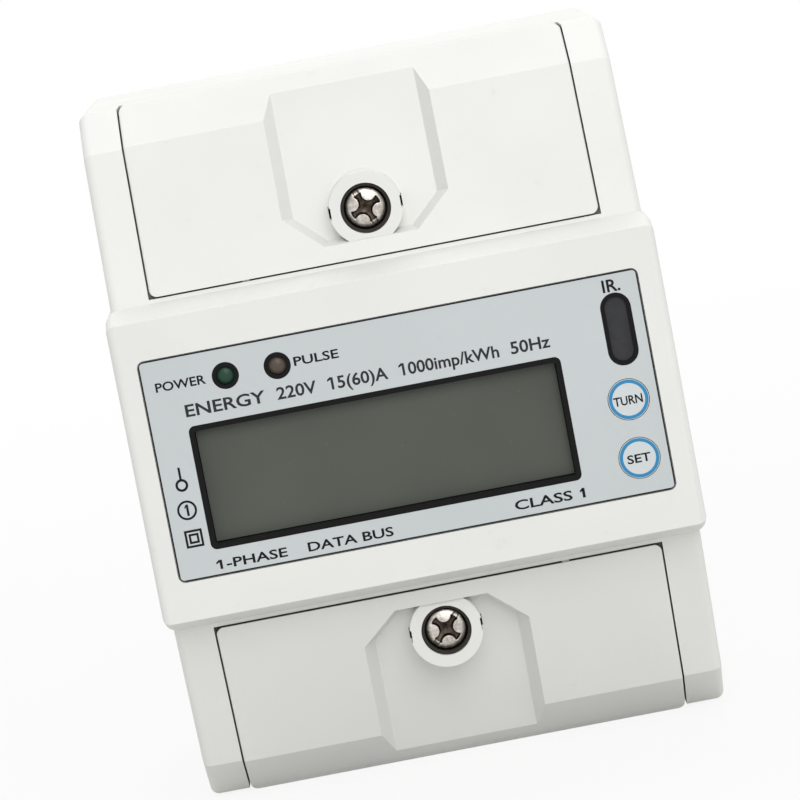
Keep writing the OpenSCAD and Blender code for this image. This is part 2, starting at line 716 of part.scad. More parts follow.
// A moulded block with a chamber, a screw well, a wire entry and a bar slot for each terminal
module terminal_block(s, half_w) difference() {
    intersection() {
        box([-half_w, half_w], [block_front_d, base_floor_d], block_z);
        slab(fold_d + (cover_wall + block_gap) / cos(bevel_a), fold_z, bevel_a, far, 0.3);
    }
    for (i = [1 : 4]) translate([slot_x(s, i), 0, 0]) {
        box([-cage_w(s) / 2 - 0.2, cage_w(s) / 2 + 0.2], [head_back(s) + shelf_t, cage_back(s) + 0.2],
            [cage_z - cage_len(s) / 2 - 0.3, cage_z + cage_len(s) / 2 + 0.3]);
        rod(0, cage_z, block_front_d - 1, head_back(s) + 0.1, head_rad(s) + 0.3);
        rod(0, cage_z, block_front_d, bar_front(s), shank_r(s) + 0.3);
        translate([0, wire_d(s), cage_z]) cylinder(h = far, d = wire(s));
        box([-bar_w(s) / 2 - entry_clear, bar_w(s) / 2 + entry_clear],
            [bar_front(s) - entry_clear, bar_back(s) + entry_clear], [0, cage_z]);
    }
    // Hollow behind the chambers
    box([block_wall - half_w, half_w - block_wall], [cage_back(s) + 1.7, base_floor_d + 1],
        [block_z[0] + block_wall, block_z[1] - block_wall]);
}

block_half = cover_w / 2 - seat_w - 0.2;

module main_terminal_block() color([0.88, 0.88, 0.86]) at_front()
    mirror([0, 0, 1]) terminal_block(main, block_half);

module main_cage(i) color([0.78, 0.74, 0.62]) at_front() mirror([0, 0, 1]) cage(main, slot_x(main, i));

module main_screw(i) color([0.75, 0.75, 0.76]) at_front()
    mirror([0, 0, 1]) clamp_screw(main, slot_x(main, i));

module aux_terminal_block() color([0.88, 0.88, 0.86]) at_front() terminal_block(aux, 2 * aux_pitch + 1.4);

module aux_cage(i) color([0.78, 0.74, 0.62]) at_front() cage(aux, slot_x(aux, i));

module aux_screw(i) color([0.75, 0.75, 0.76]) at_front() clamp_screw(aux, slot_x(aux, i));

module bar(s, i, tail) translate([slot_x(s, i), 0, 0])
    box([-bar_w(s) / 2, bar_w(s) / 2], [bar_front(s), bar_back(s)], [tail, cage_z + cage_len(s) / 2]);

// A strip between the tails of main bars i and i + 1, thinner than the bars by an inset on both faces
module bar_bridge(i, inset) box([slot_x(main, i) + bar_w(main) / 2, slot_x(main, i + 1) - bar_w(main) / 2],
    [bar_front(main) + inset, bar_back(main) - inset], [bar_tail_z, bar_tail_z + bridge_h]);

module line_in_busbar() color([0.80, 0.50, 0.33]) at_front() mirror([0, 0, 1]) bar(main, 1, bar_tail_z);

module line_out_busbar() color([0.80, 0.50, 0.33]) at_front() mirror([0, 0, 1]) bar(main, 2, bar_tail_z);

module neutral_busbar() color([0.80, 0.50, 0.33]) at_front() mirror([0, 0, 1]) {
    bar(main, 3, bar_tail_z);
    bar(main, 4, bar_tail_z);
    bar_bridge(3, 0);
}

// The resistive strip welded between the two line bars
module current_shunt() color([0.62, 0.58, 0.50]) at_front() mirror([0, 0, 1]) bar_bridge(1, 0.25);

tap_r = 0.6;
tap_x = bar_w(main) / 2 - 1;

// Pins that take the voltage and the shunt's signal to the main board
module tap_pins() color([0.80, 0.72, 0.45]) at_front()
    for (x = [slot_x(main, 1) + tap_x, slot_x(main, 2) - tap_x, slot_x(main, 3)])
        rod(x, -bar_tail_z - 2, bar_back(main), main_board_d, tap_r);

contact_tail_z = block_z[0] - 4;

module aux_contacts() color([0.80, 0.72, 0.45]) at_front() for (i = [1 : 4]) {
    bar(aux, i, contact_tail_z);
    rod(slot_x(aux, i), contact_tail_z + 1, bar_back(aux), main_board_d, tap_r - 0.1);
}

// Rear housing
rail_half = rail_w / 2 + 0.1;
hook_d = front_to_rail + rail_t + 0.3;
hook_t = 2;
hook_w = 10;
hook_x = cavity_x - 16;
seat_relief = 0.3;
latch_gap = 0.15;
latch_d = hook_d;
latch_end_z = -end_z + 0.4;
latch_tip_z = -rail_half + hook_grip;
spring_r = 0.95;
spring_wire = 0.22;
window_x = 1.6;
window_z = [latch_end_z + 3.9, latch_tip_z - 11.8];
peg_z = window_z[0] + latch_travel + 0.3;
peg_t = 1.5;
spring_z = [peg_z + peg_t, window_z[1]];
base_post_r = 3.8;
base_boss_d = back_d - 17;
foot_hollow_x = latch_w / 2 + 2.2;

module latch_tunnel() {
    box([-latch_w / 2 - latch_gap, latch_w / 2 + latch_gap],
        [latch_d - latch_gap, latch_d + latch_t + latch_gap], [-end_z - 1, 1 - rail_half]);
}

module base_housing() color(shell_color) at_front() difference() {
    union() {
        difference() {
            intersection() {
                into(parting_d, back_d) round_rect(body_w, body_h, edge_r);
                union() {
                    box([-far, far], [0, front_to_rail], [-far, far]);
                    ends() box([-far, far], [0, far], [rail_half, far]);
                }
            }
            box([-cavity_x, cavity_x], [parting_d - 1, base_floor_d], [end_wall - end_z, end_z - end_wall]);
            // Hollow feet, left solid round the latch
            for (x = [0, 1]) mirror([x, 0, 0]) ends()
                box([foot_hollow_x, cavity_x], [parting_d, back_d - wall], [rail_half + wall, end_z - end_wall]);
        }
        // The nose's sides, carried on behind the joint
        intersection() {
            into(parting_d, front_to_rail) round_rect(nose_w, 2 * foot_z, corner_r);
            for (x = [0, 1]) mirror([x, 0, 0]) box([body_w / 2 - 1, far], [0, far], [-far, far]);
        }
        // Fixed hooks over the rail's upper edge
        for (x = [-1, 1]) translate([x * hook_x, 0, 0])
            box([-hook_w / 2, hook_w / 2], [hook_d, hook_d + hook_t], [rail_half - hook_grip, rail_half + 1]);
        // Screw columns and the pillars under the main board
        for (x = [0, 1]) mirror([x, 0, 0]) ends() column(parting_d, back_d - 1, base_post_r);
        for (x = [-1, 1], z = pillar_z) {
            rod(x * pillar_x, z, main_board_d + board_t, base_floor_d + 0.5, 2.2);
            rod(x * pillar_x, z, main_board_d - 0.6, base_floor_d + 0.5, stake_r);
        }
    }
    for (i = [1 : 4]) {
        translate([slot_x(main, i), wire_d(main), -end_z - 1]) cylinder(h = end_wall + 1.5, d = main_wire);
        translate([slot_x(aux, i), wire_d(aux), end_z - end_wall - 0.5])
            cylinder(h = end_wall + 1.5, d = aux_wire);
    }
    // Relief under the hooks, so that the rail beds on a clear flat
    ends() box([-far, far], [front_to_rail - seat_relief, front_to_rail + clear],
        [rail_half - hook_grip - clear, rail_half]);
    for (x = [0, 1]) mirror([x, 0, 0]) ends() {
        rod(boss_x, boss_z, parting_d - 1, far, 1.5);
        rod(boss_x, boss_z, base_boss_d, far, 2.6);
    }
    difference() {
        latch_tunnel();
        // Peg that the latch's spring stands on
        box([-window_x + 0.2, window_x - 0.2], [0, latch_d + latch_t], [peg_z, peg_z + peg_t]);
    }
    // Way in for a screwdriver to the latch's slot
    box([-5, 5], [latch_d + latch_t, far], [-end_z - 1, latch_end_z + 3.4]);
}

module rail_latch() color([0.20, 0.20, 0.20]) at_front() difference() {
    box([-latch_w / 2, latch_w / 2], [latch_d, latch_d + latch_t], [latch_end_z, latch_tip_z]);
    // Sloping lead-in on the hook's back
    translate([0, latch_d + latch_t, latch_tip_z]) rotate([45, 0, 0]) cube([far, 1.6, 1.6], center = true);
    // Slot for a screwdriver's blade
    box([-3.5, 3.5], [0, far], [latch_end_z + 1.2, latch_end_z + 2.8]);
    // Window for the return spring and its peg
    box([-window_x, window_x], [0, far], window_z);
}

spring_turns = 9;
spring_steps = 12;
spring_sides = 6;
spring_d = latch_d + latch_t / 2;
spring_len = spring_z[1] - spring_z[0] - 2 * spring_wire - 0.1;

function coil_point(i) = let (a = i * 360 / spring_steps)
    [spring_r * cos(a), spring_r * sin(a), spring_len * i / (spring_turns * spring_steps)];

// The coil that pushes the latch back up, swept as a ring of points per step
module latch_spring() color("silver") at_front() translate([0, spring_d, spring_z[0] + spring_wire + 0.05])
    let (n = spring_turns * spring_steps, k = spring_sides)
    polyhedron(
        points = [for (i = [0 : n]) let (c = coil_point(i), a = i * 360 / spring_steps)
            for (j = [0 : k - 1]) let (b = j * 360 / k)
            c + spring_wire * [cos(a) * cos(b), sin(a) * cos(b), sin(b)]],
        faces = concat(
            [[for (j = [k - 1 : -1 : 0]) j]],
            [for (i = [0 : n - 1], j = [0 : k - 1])
                [i * k + j, i * k + (j + 1) % k, (i + 1) * k + (j + 1) % k, (i + 1) * k + j]],
            [[for (j = [0 : k - 1]) n * k + j]]));

// One of the four long screws that hold the two housings together from behind
module housing_screw() difference() {
    union() {
        rod(0, 0, parting_d - screw_bite, base_boss_d, screw_core_r - 0.03);
        rod(0, 0, base_boss_d, base_boss_d + 2, 2.4);
    }
    for (a = [0, 90]) rotate([0, a, 0]) box([-1.4, 1.4], [base_boss_d + 1, far], [-0.35, 0.35]);
}

module housing_screws() color("silver") at_front()
    for (x = [-1, 1], z = [-1, 1]) translate([x * boss_x, 0, z * boss_z]) housing_screw();

base_housing();
front_housing();
top_terminal_cover();
bottom_terminal_cover();
top_cover_screw();
bottom_cover_screw();
top_screw_cup();
bottom_screw_cup();
faceplate();
lcd_bezel();
lcd_panel();
lcd_backlight();
display_board();
power_lamp();
pulse_lamp();
lamp_rings();
infrared_frame();
infrared_window();
infrared_diodes();
turn_button();
set_button();
turn_switch();
set_switch();
main_board();
ribbon_sockets();
ribbon_cable();
transformer();
film_capacitor();
smoothing_capacitor();
varistor();
metering_chip();
optocouplers();
line_in_busbar();
line_out_busbar();
neutral_busbar();
current_shunt();
tap_pins();
main_terminal_block();
main_screw(1);  // main_screw_1
main_screw(2);  // main_screw_2
main_screw(3);  // main_screw_3
main_screw(4);  // main_screw_4
main_cage(1);  // main_cage_1
main_cage(2);  // main_cage_2
main_cage(3);  // main_cage_3
main_cage(4);  // main_cage_4
aux_terminal_block();
aux_screw(1);  // aux_screw_1
aux_screw(2);  // aux_screw_2
aux_screw(3);  // aux_screw_3
aux_screw(4);  // aux_screw_4
aux_cage(1);  // aux_cage_1
aux_cage(2);  // aux_cage_2
aux_cage(3);  // aux_cage_3
aux_cage(4);  // aux_cage_4
aux_contacts();
rail_latch();
latch_spring();
housing_screws();
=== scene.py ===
"""Looks for a rail-mounted single-phase energy meter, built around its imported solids."""

import math

import bmesh
import bpy
from bpy.props import FloatProperty, FloatVectorProperty, PointerProperty
from mathutils import Matrix, Vector


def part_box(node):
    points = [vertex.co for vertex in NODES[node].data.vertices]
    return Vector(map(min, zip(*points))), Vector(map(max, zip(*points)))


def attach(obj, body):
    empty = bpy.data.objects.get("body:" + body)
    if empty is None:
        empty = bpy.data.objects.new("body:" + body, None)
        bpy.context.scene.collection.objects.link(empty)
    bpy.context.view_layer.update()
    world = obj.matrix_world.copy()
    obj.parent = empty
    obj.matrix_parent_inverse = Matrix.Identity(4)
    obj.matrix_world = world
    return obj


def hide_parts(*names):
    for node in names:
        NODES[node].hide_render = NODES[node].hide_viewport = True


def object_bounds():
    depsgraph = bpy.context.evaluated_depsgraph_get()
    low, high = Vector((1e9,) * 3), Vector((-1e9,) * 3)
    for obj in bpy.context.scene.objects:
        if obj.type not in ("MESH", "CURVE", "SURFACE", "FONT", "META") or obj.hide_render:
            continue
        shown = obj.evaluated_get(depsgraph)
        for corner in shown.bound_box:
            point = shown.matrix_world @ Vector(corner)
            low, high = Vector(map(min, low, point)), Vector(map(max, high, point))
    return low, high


bl_info = {
    "name": "Energy meter looks",
    "version": (1, 0, 0),
    "blender": (4, 5, 0),
    "location": "View3D > Sidebar > Energy meter",
    "description": "Dresses the solids of a rail-mounted energy meter and prints its faceplate",
    "category": "Object",
}

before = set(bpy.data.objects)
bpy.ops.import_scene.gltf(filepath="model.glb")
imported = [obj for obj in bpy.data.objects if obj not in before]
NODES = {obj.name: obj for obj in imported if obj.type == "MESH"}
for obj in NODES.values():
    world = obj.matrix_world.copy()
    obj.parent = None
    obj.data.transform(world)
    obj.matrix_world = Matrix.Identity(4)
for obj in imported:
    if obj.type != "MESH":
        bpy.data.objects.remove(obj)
CAD_BOX = [list(v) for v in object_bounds()]
MM = 0.001
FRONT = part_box("front_housing")[0][1]
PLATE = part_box("faceplate")[0][1]
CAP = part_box("turn_button")[0][1]


def centre(node):
    """The middle of a node's box."""
    low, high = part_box(node)
    return [(a + b) / 2 for a, b in zip(low, high)]


def colour(name, description, value):
    return FloatVectorProperty(
        name=name, description=description, subtype="COLOR", size=3, min=0, max=1, default=value
    )


class MeterHousingLooks(bpy.types.PropertyGroup):
    shell: colour("Housing", "Colour of the moulded housing", (0.770, 0.774, 0.742))
    cover: colour("Covers", "Colour of the terminal covers", (0.752, 0.757, 0.728))
    terminal_block: colour("Terminal blocks", "Colour of the terminal blocks", (0.70, 0.70, 0.66))
    grain_size: FloatProperty(
        name="Grain size", description="Size of the mould's fine grain", default=0.35 * MM,
        min=0.05 * MM, max=2 * MM, unit="LENGTH"
    )
    edge_radius: FloatProperty(
        name="Edge radius", description="Rounding of the sharp moulded edges", default=0.12 * MM,
        min=0.02 * MM, max=0.4 * MM, unit="LENGTH"
    )
    cover_radius: FloatProperty(
        name="Cover edge radius", description="Rounding of the edges of the covers", default=0.3 * MM,
        min=0.02 * MM, max=0.4 * MM, unit="LENGTH"
    )
    # Reach of the painted shade that darkens the gaps between parts.
    gap_shade_reach: FloatProperty(
        name="Grime reach", description="Width of the gaps that gather dark grime", default=1.3 * MM,
        min=0.2 * MM, max=4 * MM, unit="LENGTH"
    )


class MeterPlateLooks(bpy.types.PropertyGroup):
    film: colour("Film", "Colour of the printed faceplate", (0.545, 0.578, 0.588))
    # The ink colour also paints the shadow line round the faceplate's edge.
    ink: colour("Ink", "Colour of the darkest printed words and signs", (0.006, 0.007, 0.008))
    grey_ink: colour("Grey ink", "Colour of the row of ratings", (0.026, 0.028, 0.030))
    ring: colour("Button rings", "Colour of the rings on the buttons", (0.022, 0.225, 0.46))
    glass: colour("Display", "Colour of the display at rest", (0.083, 0.091, 0.076))
    print_thickness: FloatProperty(
        name="Print thickness", description="Thickness of the printed ink", default=0.012 * MM,
        min=0.005 * MM, max=0.05 * MM, unit="LENGTH"
    )


class MeterStageLooks(bpy.types.PropertyGroup):
    floor: colour("Floor", "Colour of the floor", (0.66, 0.66, 0.65))
    sky: FloatProperty(name="Sky", description="Light from above", default=0.74, min=0, max=2)
    ground: FloatProperty(name="Ground", description="Light from below", default=0.56, min=0, max=2)
    key: FloatProperty(
        name="Key light", description="Power of the large soft lamp in front", default=9.5, min=0,
        max=100, unit="POWER"
    )
    top: FloatProperty(
        name="Top light", description="Power of the soft lamp above and behind", default=5.5, min=0,
        max=100, unit="POWER"
    )


# ---- shader building blocks


class Wires:
    """Adds nodes to a tree and links them by name. Settings come first, because a group's tree makes its sockets."""

    def __init__(self, tree):
        self.tree = tree

    def add(self, kind, inputs=None, **settings):
        node = self.tree.nodes.new(kind)
        for key, value in settings.items():
            setattr(node, key, value)
        for key, value in (inputs or {}).items():
            self.feed(value, node.inputs[key])
        return node

    def feed(self, value, socket):
        if isinstance(value, bpy.types.NodeSocket):
            self.tree.links.new(value, socket)
        elif value is not None:
            if getattr(socket, "type", "") == "RGBA" and len(value) == 3:
                value = (*value, 1)
            socket.default_value = value


def shader_group(name, inputs, outputs):
    """An empty shader node group with named sockets; returns it, its wires and its two end nodes."""
    group = bpy.data.node_groups.new(name, "ShaderNodeTree")
    kinds = {"f": "NodeSocketFloat", "c": "NodeSocketColor", "v": "NodeSocketVector"}
    for label, kind, value in inputs:
        socket = group.interface.new_socket(label, in_out="INPUT", socket_type=kinds[kind])
        if value is not None:
            socket.default_value = value
    for label, kind in outputs:
        group.interface.new_socket(label, in_out="OUTPUT", socket_type=kinds[kind])
    wires = Wires(group)
    return group, wires, wires.add("NodeGroupInput").outputs, wires.add("NodeGroupOutput").inputs


def moulded_group():
    """Fine grain, slow colour drift and faint handling marks of a moulded plastic."""
    group, w, given, out = shader_group(
        "moulded plastic",
        [("Colour", "c", (0.8, 0.8, 0.8, 1)), ("Grain", "f", 2500.0), ("Roughness", "f", 0.5)],
        [("Colour", "c"), ("Roughness", "f"), ("Height", "f")],
    )
    place = w.add("ShaderNodeTexCoord").outputs["Object"]
    grain = w.add(
        "ShaderNodeTexNoise", {"Vector": place, "Scale": given["Grain"], "Detail": 3.0, "Roughness": 0.6}
    )
    drift = w.add("ShaderNodeTexNoise", {"Vector": place, "Scale": 45.0, "Detail": 2.0})
    marks = w.add("ShaderNodeTexNoise", {"Vector": place, "Scale": 260.0, "Detail": 4.0, "Roughness": 0.65})
    mottle = w.add(
        "ShaderNodeMapRange", {"Value": drift.outputs[0], "From Min": 0.3, "From Max": 0.7, "To Min": 0.975, "To Max": 1.02}
    )
    spots = w.add(
        "ShaderNodeMapRange", {"Value": marks.outputs[0], "From Min": 0.66, "From Max": 0.8, "To Min": 1.0, "To Max": 0.93}
    )
    shade = w.add("ShaderNodeMath", {0: mottle.outputs[0], 1: spots.outputs[0]}, operation="MULTIPLY")
    tint = w.add("ShaderNodeVectorMath", {0: given["Colour"], "Scale": shade.outputs[0]}, operation="SCALE")
    w.feed(tint.outputs[0], out["Colour"])
    gloss = w.add(
        "ShaderNodeMapRange", {"Value": marks.outputs[0], "From Min": 0.2, "From Max": 0.8, "To Min": -0.06, "To Max": 0.07}
    )
    rough = w.add("ShaderNodeMath", {0: gloss.outputs[0], 1: given["Roughness"]}, operation="ADD")
    w.feed(rough.outputs[0], out["Roughness"])
    w.feed(grain.outputs[0], out["Height"])
    return group


def gap_shade_group():
    """Painted shade: darkens the colour where two walls stand close together, as shade falls in the gaps, and not on
    open faces or where the meter meets the floor.
    """
    group, w, given, out = shader_group(
        "gap grime",
        [("Colour", "c", (0.8, 0.8, 0.8, 1)), ("Painted shade", "c", (0.02, 0.02, 0.02, 1)), ("Reach", "f", 0.0013)],
        [("Colour", "c")],
    )
    # Ambient occlusion finds the narrow gaps, and their colour is darkened there as painted shade.
    open_share = w.add("ShaderNodeAmbientOcclusion", {"Distance": given["Reach"]}, samples=12)
    mask = w.add(
        "ShaderNodeMapRange",
        {"Value": open_share.outputs["AO"], "From Min": 0.12, "From Max": 0.36, "To Min": 0.9, "To Max": 0.0},
    )
    place = w.add("ShaderNodeTexCoord").outputs["Object"]
    height = w.add("ShaderNodeSeparateXYZ", {0: place}).outputs["Z"]
    off_floor = w.add("ShaderNodeMath", {0: height, 1: CAD_BOX[0][2] + 0.5 * MM}, operation="GREATER_THAN")
    painted_shade_share = w.add("ShaderNodeMath", {0: mask.outputs[0], 1: off_floor.outputs[0]}, operation="MULTIPLY")
    w.feed(mix_colours(w, painted_shade_share.outputs[0], given["Colour"], given["Painted shade"]), out["Colour"])
    return group


def metal_group():
    """Fine scratches and a cloudy plated finish."""
    group, w, given, out = shader_group(
        "plated metal",
        [("Colour", "c", (0.5, 0.5, 0.5, 1)), ("Dark", "c", (0.2, 0.2, 0.2, 1)), ("Scale", "f", 900.0), ("Roughness", "f", 0.3)],
        [("Colour", "c"), ("Roughness", "f"), ("Height", "f")],
    )
    place = w.add("ShaderNodeTexCoord").outputs["Object"]
    cloud = w.add("ShaderNodeTexNoise", {"Vector": place, "Scale": given["Scale"], "Detail": 5.0, "Roughness": 0.7})
    streaks = w.add("ShaderNodeMapping", {"Vector": place, "Scale": (1, 14, 3)})
    fine = w.add("ShaderNodeTexNoise", {"Vector": streaks.outputs[0], "Scale": given["Scale"], "Detail": 3.0})
    share = w.add(
        "ShaderNodeMapRange", {"Value": cloud.outputs[0], "From Min": 0.38, "From Max": 0.68, "To Min": 0.0, "To Max": 1.0}
    )
    w.feed(mix_colours(w, share.outputs[0], given["Dark"], given["Colour"]), out["Colour"])
    gloss = w.add(
        "ShaderNodeMapRange", {"Value": fine.outputs[0], "From Min": 0.3, "From Max": 0.7, "To Min": -0.08, "To Max": 0.12}
    )
    rough = w.add("ShaderNodeMath", {0: gloss.outputs[0], 1: given["Roughness"]}, operation="ADD")
    w.feed(rough.outputs[0], out["Roughness"])
    w.feed(fine.outputs[0], out["Height"])
    return group


def mix_colours(w, factor, first, second):
    """The colour output of a Mix node between two colours."""
    node = w.add("ShaderNodeMix", data_type="RGBA")
    w.feed(factor, node.inputs[0])
    w.feed(first, node.inputs[6])
    w.feed(second, node.inputs[7])
    return node.outputs[2]


GROUPS = {}


def group_of(name):
    if name not in GROUPS:
        GROUPS[name] = {"moulded": moulded_group, "metal": metal_group, "painted_shade": gap_shade_group}[name]()
    return GROUPS[name]


def principled(name, **plain):
    """A material with its wires and Principled shader, plain values set on the shader's own sockets."""
    material = bpy.data.materials.new(name)
    material.use_nodes = True
    w = Wires(material.node_tree)
    shader = next(n for n in material.node_tree.nodes if n.type == "BSDF_PRINCIPLED")
    for key, value in plain.items():
        w.feed(value, shader.inputs[key.replace("_", " ")])
    return material, w, shader


def bump(w, shader, height, strength, distance):
    node = w.add("ShaderNodeBump", {"Height": height, "Strength": strength, "Distance": distance})
    w.feed(node.outputs[0], shader.inputs["Normal"])


def moulded(name, base, rough=0.5, grain=2600.0, relief=0.012, specular=0.4, coat=0.0, strength=0.35, painted_shade=0.0):
    """Moulded plastic with fine grain, and optional painted shade that darkens the colour in gaps up to the given reach
    in metres.
    """
    material, w, shader = principled(name, Specular_IOR_Level=specular, Coat_Weight=coat)
    group = w.add("ShaderNodeGroup", node_tree=group_of("moulded"))
    w.feed((*base, 1), group.inputs["Colour"])
    group.inputs["Grain"].default_value = grain
    group.inputs["Roughness"].default_value = rough
    tint = group.outputs["Colour"]
    # Painted shade: the colour is darkened in narrow gaps between parts.
    if painted_shade:
        gap_shade_node = w.add("ShaderNodeGroup", node_tree=group_of("painted_shade"))
        w.feed(tint, gap_shade_node.inputs["Colour"])
        gap_shade_node.inputs["Reach"].default_value = painted_shade
        tint = gap_shade_node.outputs["Colour"]
    w.feed(tint, shader.inputs["Base Color"])
    w.feed(group.outputs["Roughness"], shader.inputs["Roughness"])
    bump(w, shader, group.outputs["Height"], strength, relief * MM)
    return material


def metal(name, base, dark, rough=0.3, scale=900.0, relief=0.004):
    """Plated or drawn metal with cloudy colour and fine streaks."""
    material, w, shader = principled(name, Metallic=1.0)
    group = w.add("ShaderNodeGroup", node_tree=group_of("metal"))
    w.feed((*base, 1), group.inputs["Colour"])
    w.feed((*dark, 1), group.inputs["Dark"])
    group.inputs["Scale"].default_value = scale
    group.inputs["Roughness"].default_value = rough
    w.feed(group.outputs["Colour"], shader.inputs["Base Color"])
    w.feed(group.outputs["Roughness"], shader.inputs["Roughness"])
    bump(w, shader, group.outputs["Height"], 0.3, relief * MM)
    return material


def dress(material, *nodes):
    """Puts one material on every slot of these CAD nodes."""
    for name in nodes:
        slots = NODES[name].data.materials
        for i in range(len(slots)):
            slots[i] = material
        if not len(slots):
            slots.append(material)


def soften(name, radius):
    """Rounds a CAD node's sharp edges for the light, without moving the node."""
    piece = NODES[name]
    weld = piece.modifiers.new("weld", "WELD")
    weld.merge_threshold = 1e-6
    flat = piece.modifiers.new("flat", "DECIMATE")
    flat.decimate_type = "DISSOLVE"
    flat.angle_limit = math.radians(0.5)
    edge = piece.modifiers.new("edge", "BEVEL")
    edge.width = radius
    edge.segments = 2
    edge.limit_method = "ANGLE"
    edge.angle_limit = math.radians(28)
    edge.harden_normals = False


# ---- mesh building blocks


def new_piece(name, mesh, body, material):
    """Adds a mesh as a piece that rides on a CAD body."""
    piece = bpy.data.objects.new(name, mesh)
    bpy.context.scene.collection.objects.link(piece)
    mesh.materials.append(material)
    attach(piece, body)
    return piece


def mesh_from(name, verts, faces, smooth=True):
    mesh = bpy.data.meshes.new(name)
    mesh.from_pydata([tuple(v) for v in verts], [], faces)
    mesh.validate()
    for polygon in mesh.polygons:
        polygon.use_smooth = smooth
    return mesh


def thick_outline(name, loops, depth, thickness):
    """A flat print of closed outlines (x, z in metres), from depth out to its thickness. The first loop is
    the outside, and a second one is its hole with the same number of points."""
    verts, faces = [], []
    n = len(loops[0])
    for loop in loops:
        for y in (depth, depth - thickness):
            verts += [(x, y, z) for x, z in loop]
    def ring(a, b):
        return [(a * n + i, a * n + (i + 1) % n, b * n + (i + 1) % n, b * n + i) for i in range(n)]
    if len(loops) == 2:
        faces += ring(0, 1) + ring(1, 3) + ring(3, 2) + ring(2, 0)
    else:
        faces += ring(0, 1) + [tuple(range(n)), tuple(range(2 * n - 1, n - 1, -1))]
    mesh = mesh_from(name, verts, faces, smooth=False)
    tidy = bmesh.new()
    tidy.from_mesh(mesh)
    bmesh.ops.recalc_face_normals(tidy, faces=tidy.faces)
    tidy.to_mesh(mesh)
    tidy.free()
    return mesh


def circle_loop(x, z, radius, n=64):
    return [
        (x + radius * math.cos(2 * math.pi * i / n), z + radius * math.sin(2 * math.pi * i / n)) for i in range(n)
    ]


def square_loop(x, z, side):
    h = side / 2
    return [(x + sx * h, z + sz * h) for sx, sz in ((1, 1), (-1, 1), (-1, -1), (1, -1))]


def plate_loop(x, z, wide, tall, corner, steps=6):
    """A rectangle with round corners."""
    points = []
    for sx, sz, start in ((1, 1, 0), (-1, 1, 90), (-1, -1, 180), (1, -1, 270)):
        px, pz = x + sx * (wide / 2 - corner), z + sz * (tall / 2 - corner)
        for step in range(steps + 1):
            a = math.radians(start + step * 90 / steps)
            points.append((px + corner * math.cos(a), pz + corner * math.sin(a)))
    return points


def figure_one_loop(x, z, tall, stroke):
    """A thin figure 1 with a flag, sizes in mm."""
    h, t = tall / 2, stroke / 2
    points = [(t, -h), (t, h), (-t, h), (-0.38, h - 0.36), (-0.38, h - 0.62), (-t, h - 0.36), (-t, -h)]
    return [((x + px + 0.08) * MM, (z + pz) * MM) for px, pz in points]


def lettering(name, words, low, high, mid_z, tall, depth, thickness, weight=0.019):
    """Words between x = low and high, capitals of height tall, centred on mid_z (mm)."""
    curve = bpy.data.curves.new(name, "FONT")
    curve.body = words
    curve.resolution_u = 3
    curve.extrude = 0.5
    curve.offset = weight
    shape = bpy.data.objects.new(name + "_outline", curve)
    bpy.context.scene.collection.objects.link(shape)
    bpy.context.view_layer.update()
    graph = bpy.context.evaluated_depsgraph_get()
    mesh = bpy.data.meshes.new_from_object(shape.evaluated_get(graph))
    bpy.data.objects.remove(shape)
    bpy.data.curves.remove(curve)
    xs = [v.co.x for v in mesh.vertices]
    capital = 0.729
    wide = (high - low) / (max(xs) - min(xs)) * MM
    high_scale = tall / capital * MM
    for v in mesh.vertices:
        x, z, out = v.co
        v.co = (low * MM + (x - min(xs)) * wide, depth - (out + 0.5) * thickness, mid_z * MM + (z - capital / 2) * high_scale)
    mesh.materials.clear()
    tidy = bmesh.new()
    tidy.from_mesh(mesh)
    bmesh.ops.remove_doubles(tidy, verts=tidy.verts, dist=1e-7)
    bmesh.ops.recalc_face_normals(tidy, faces=tidy.faces)
    tidy.to_mesh(mesh)
    tidy.free()
    return mesh


# ---- the cover screws


def screw_top(radius, x, z, turn):
    """Height of the screw's head above its back and depth of its cross, at x and z from its middle (mm)."""
    r = math.hypot(x, z)
    dome = 2.0 - 0.4 * (r / radius) ** 3
    a = math.atan2(z, x) - math.radians(turn)
    px, pz = r * math.cos(a), r * math.sin(a)
    lobe = min(math.hypot(px - cx, pz - cz) for cx, cz in ((2.0, 0), (-2.0, 0), (0, 2.0), (0, -2.0)))
    star = smooth_step((lobe - 1.0) / 0.2) * smooth_step((2.2 - r) / 0.2)
    deep = star * (1.5 - 0.42 * r)
    qx = (px - pz) / math.sqrt(2)
    slot = smooth_step((0.42 - abs(qx)) / 0.12) * 0.3
    return dome - max(deep, slot), deep


def smooth_step(t):
    t = max(0.0, min(1.0, t))
    return t * t * (3 - 2 * t)


